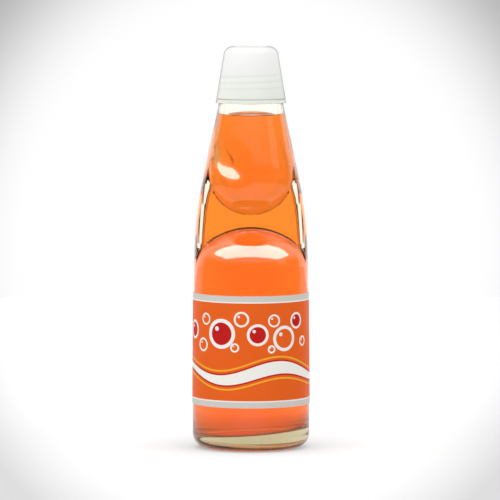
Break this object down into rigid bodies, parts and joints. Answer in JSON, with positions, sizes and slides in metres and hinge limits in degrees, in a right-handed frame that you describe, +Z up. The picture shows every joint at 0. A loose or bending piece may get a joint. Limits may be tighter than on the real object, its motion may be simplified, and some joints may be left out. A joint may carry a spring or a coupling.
{
  "type": "marble stopper bottle",
  "caption": "Pinched glass soda bottle sealed from inside by a glass marble, with orange drink, wrap label and a white screw-on mouth cap that holds a push plunger.",
  "frame": {"origin": "on the table, at the middle of the bottle's base", "axes": "+Z up along the bottle's axis, -Y the front that the picture shows, -X the pouring side with the two dimples"},
  "size_m": [0.0594, 0.0592, 0.202],
  "materials": {
    "bottle_glass": "clear moulded soda-lime glass with a faint green tint",
    "orange_drink": "clear orange soda, a liquid",
    "label_film": "printed orange film with pale borders",
    "marble_glass": "clear polished glass ball",
    "gasket_rubber": "soft pale silicone rubber, matte",
    "cap_plastic": "translucent white moulded plastic, satin",
    "band_plastic": "translucent white moulded plastic, satin",
    "collar_plastic": "white moulded plastic, satin",
    "plunger_plastic": "white moulded plastic, satin"
  },
  "bodies": {
    "bottle": {"glass_bottle": "bottle_glass", "drink": "orange_drink", "label_wrap": "label_film", "tamper_band": "band_plastic"},
    "gasket": {"mouth_gasket": "gasket_rubber"},
    "cap": {"mouth_cap": "cap_plastic"},
    "collar": {"plunger_ring": "collar_plastic"},
    "plunger": {"plunger": "plunger_plastic"},
    "marble": {"marble": "marble_glass"}
  },
  "joints": [
    {"name": "cap_rise", "type": "slide", "parent": "bottle", "child": "gasket", "axis": [0, 0, 1], "range_m": [0, 0.00478]},
    {"name": "cap_turn", "type": "hinge", "parent": "gasket", "child": "cap", "pos_m": [0, 0, 0.19], "axis": [0, 0, 1], "range_deg": [0, 540]},
    {"name": "plunger_lift", "type": "slide", "parent": "cap", "child": "collar", "axis": [0, 0, 1], "range_m": [0, 0.03]},
    {"name": "plunger_press", "type": "slide", "parent": "collar", "child": "plunger", "axis": [0, 0, -1], "range_m": [0, 0.0058]},
    {"name": "marble_drop", "type": "slide", "parent": "bottle", "child": "marble", "axis": [0, 0, -1], "range_m": [0, 0.054], "deforming": ["drink"]}
  ],
  "couplings": [
    {"joint": "cap_rise", "follows": "cap_turn", "m_per_rad": 0.00050611},
    {"joint": "plunger_press", "follows": "marble_drop", "ratio": 0.107}
  ]
}
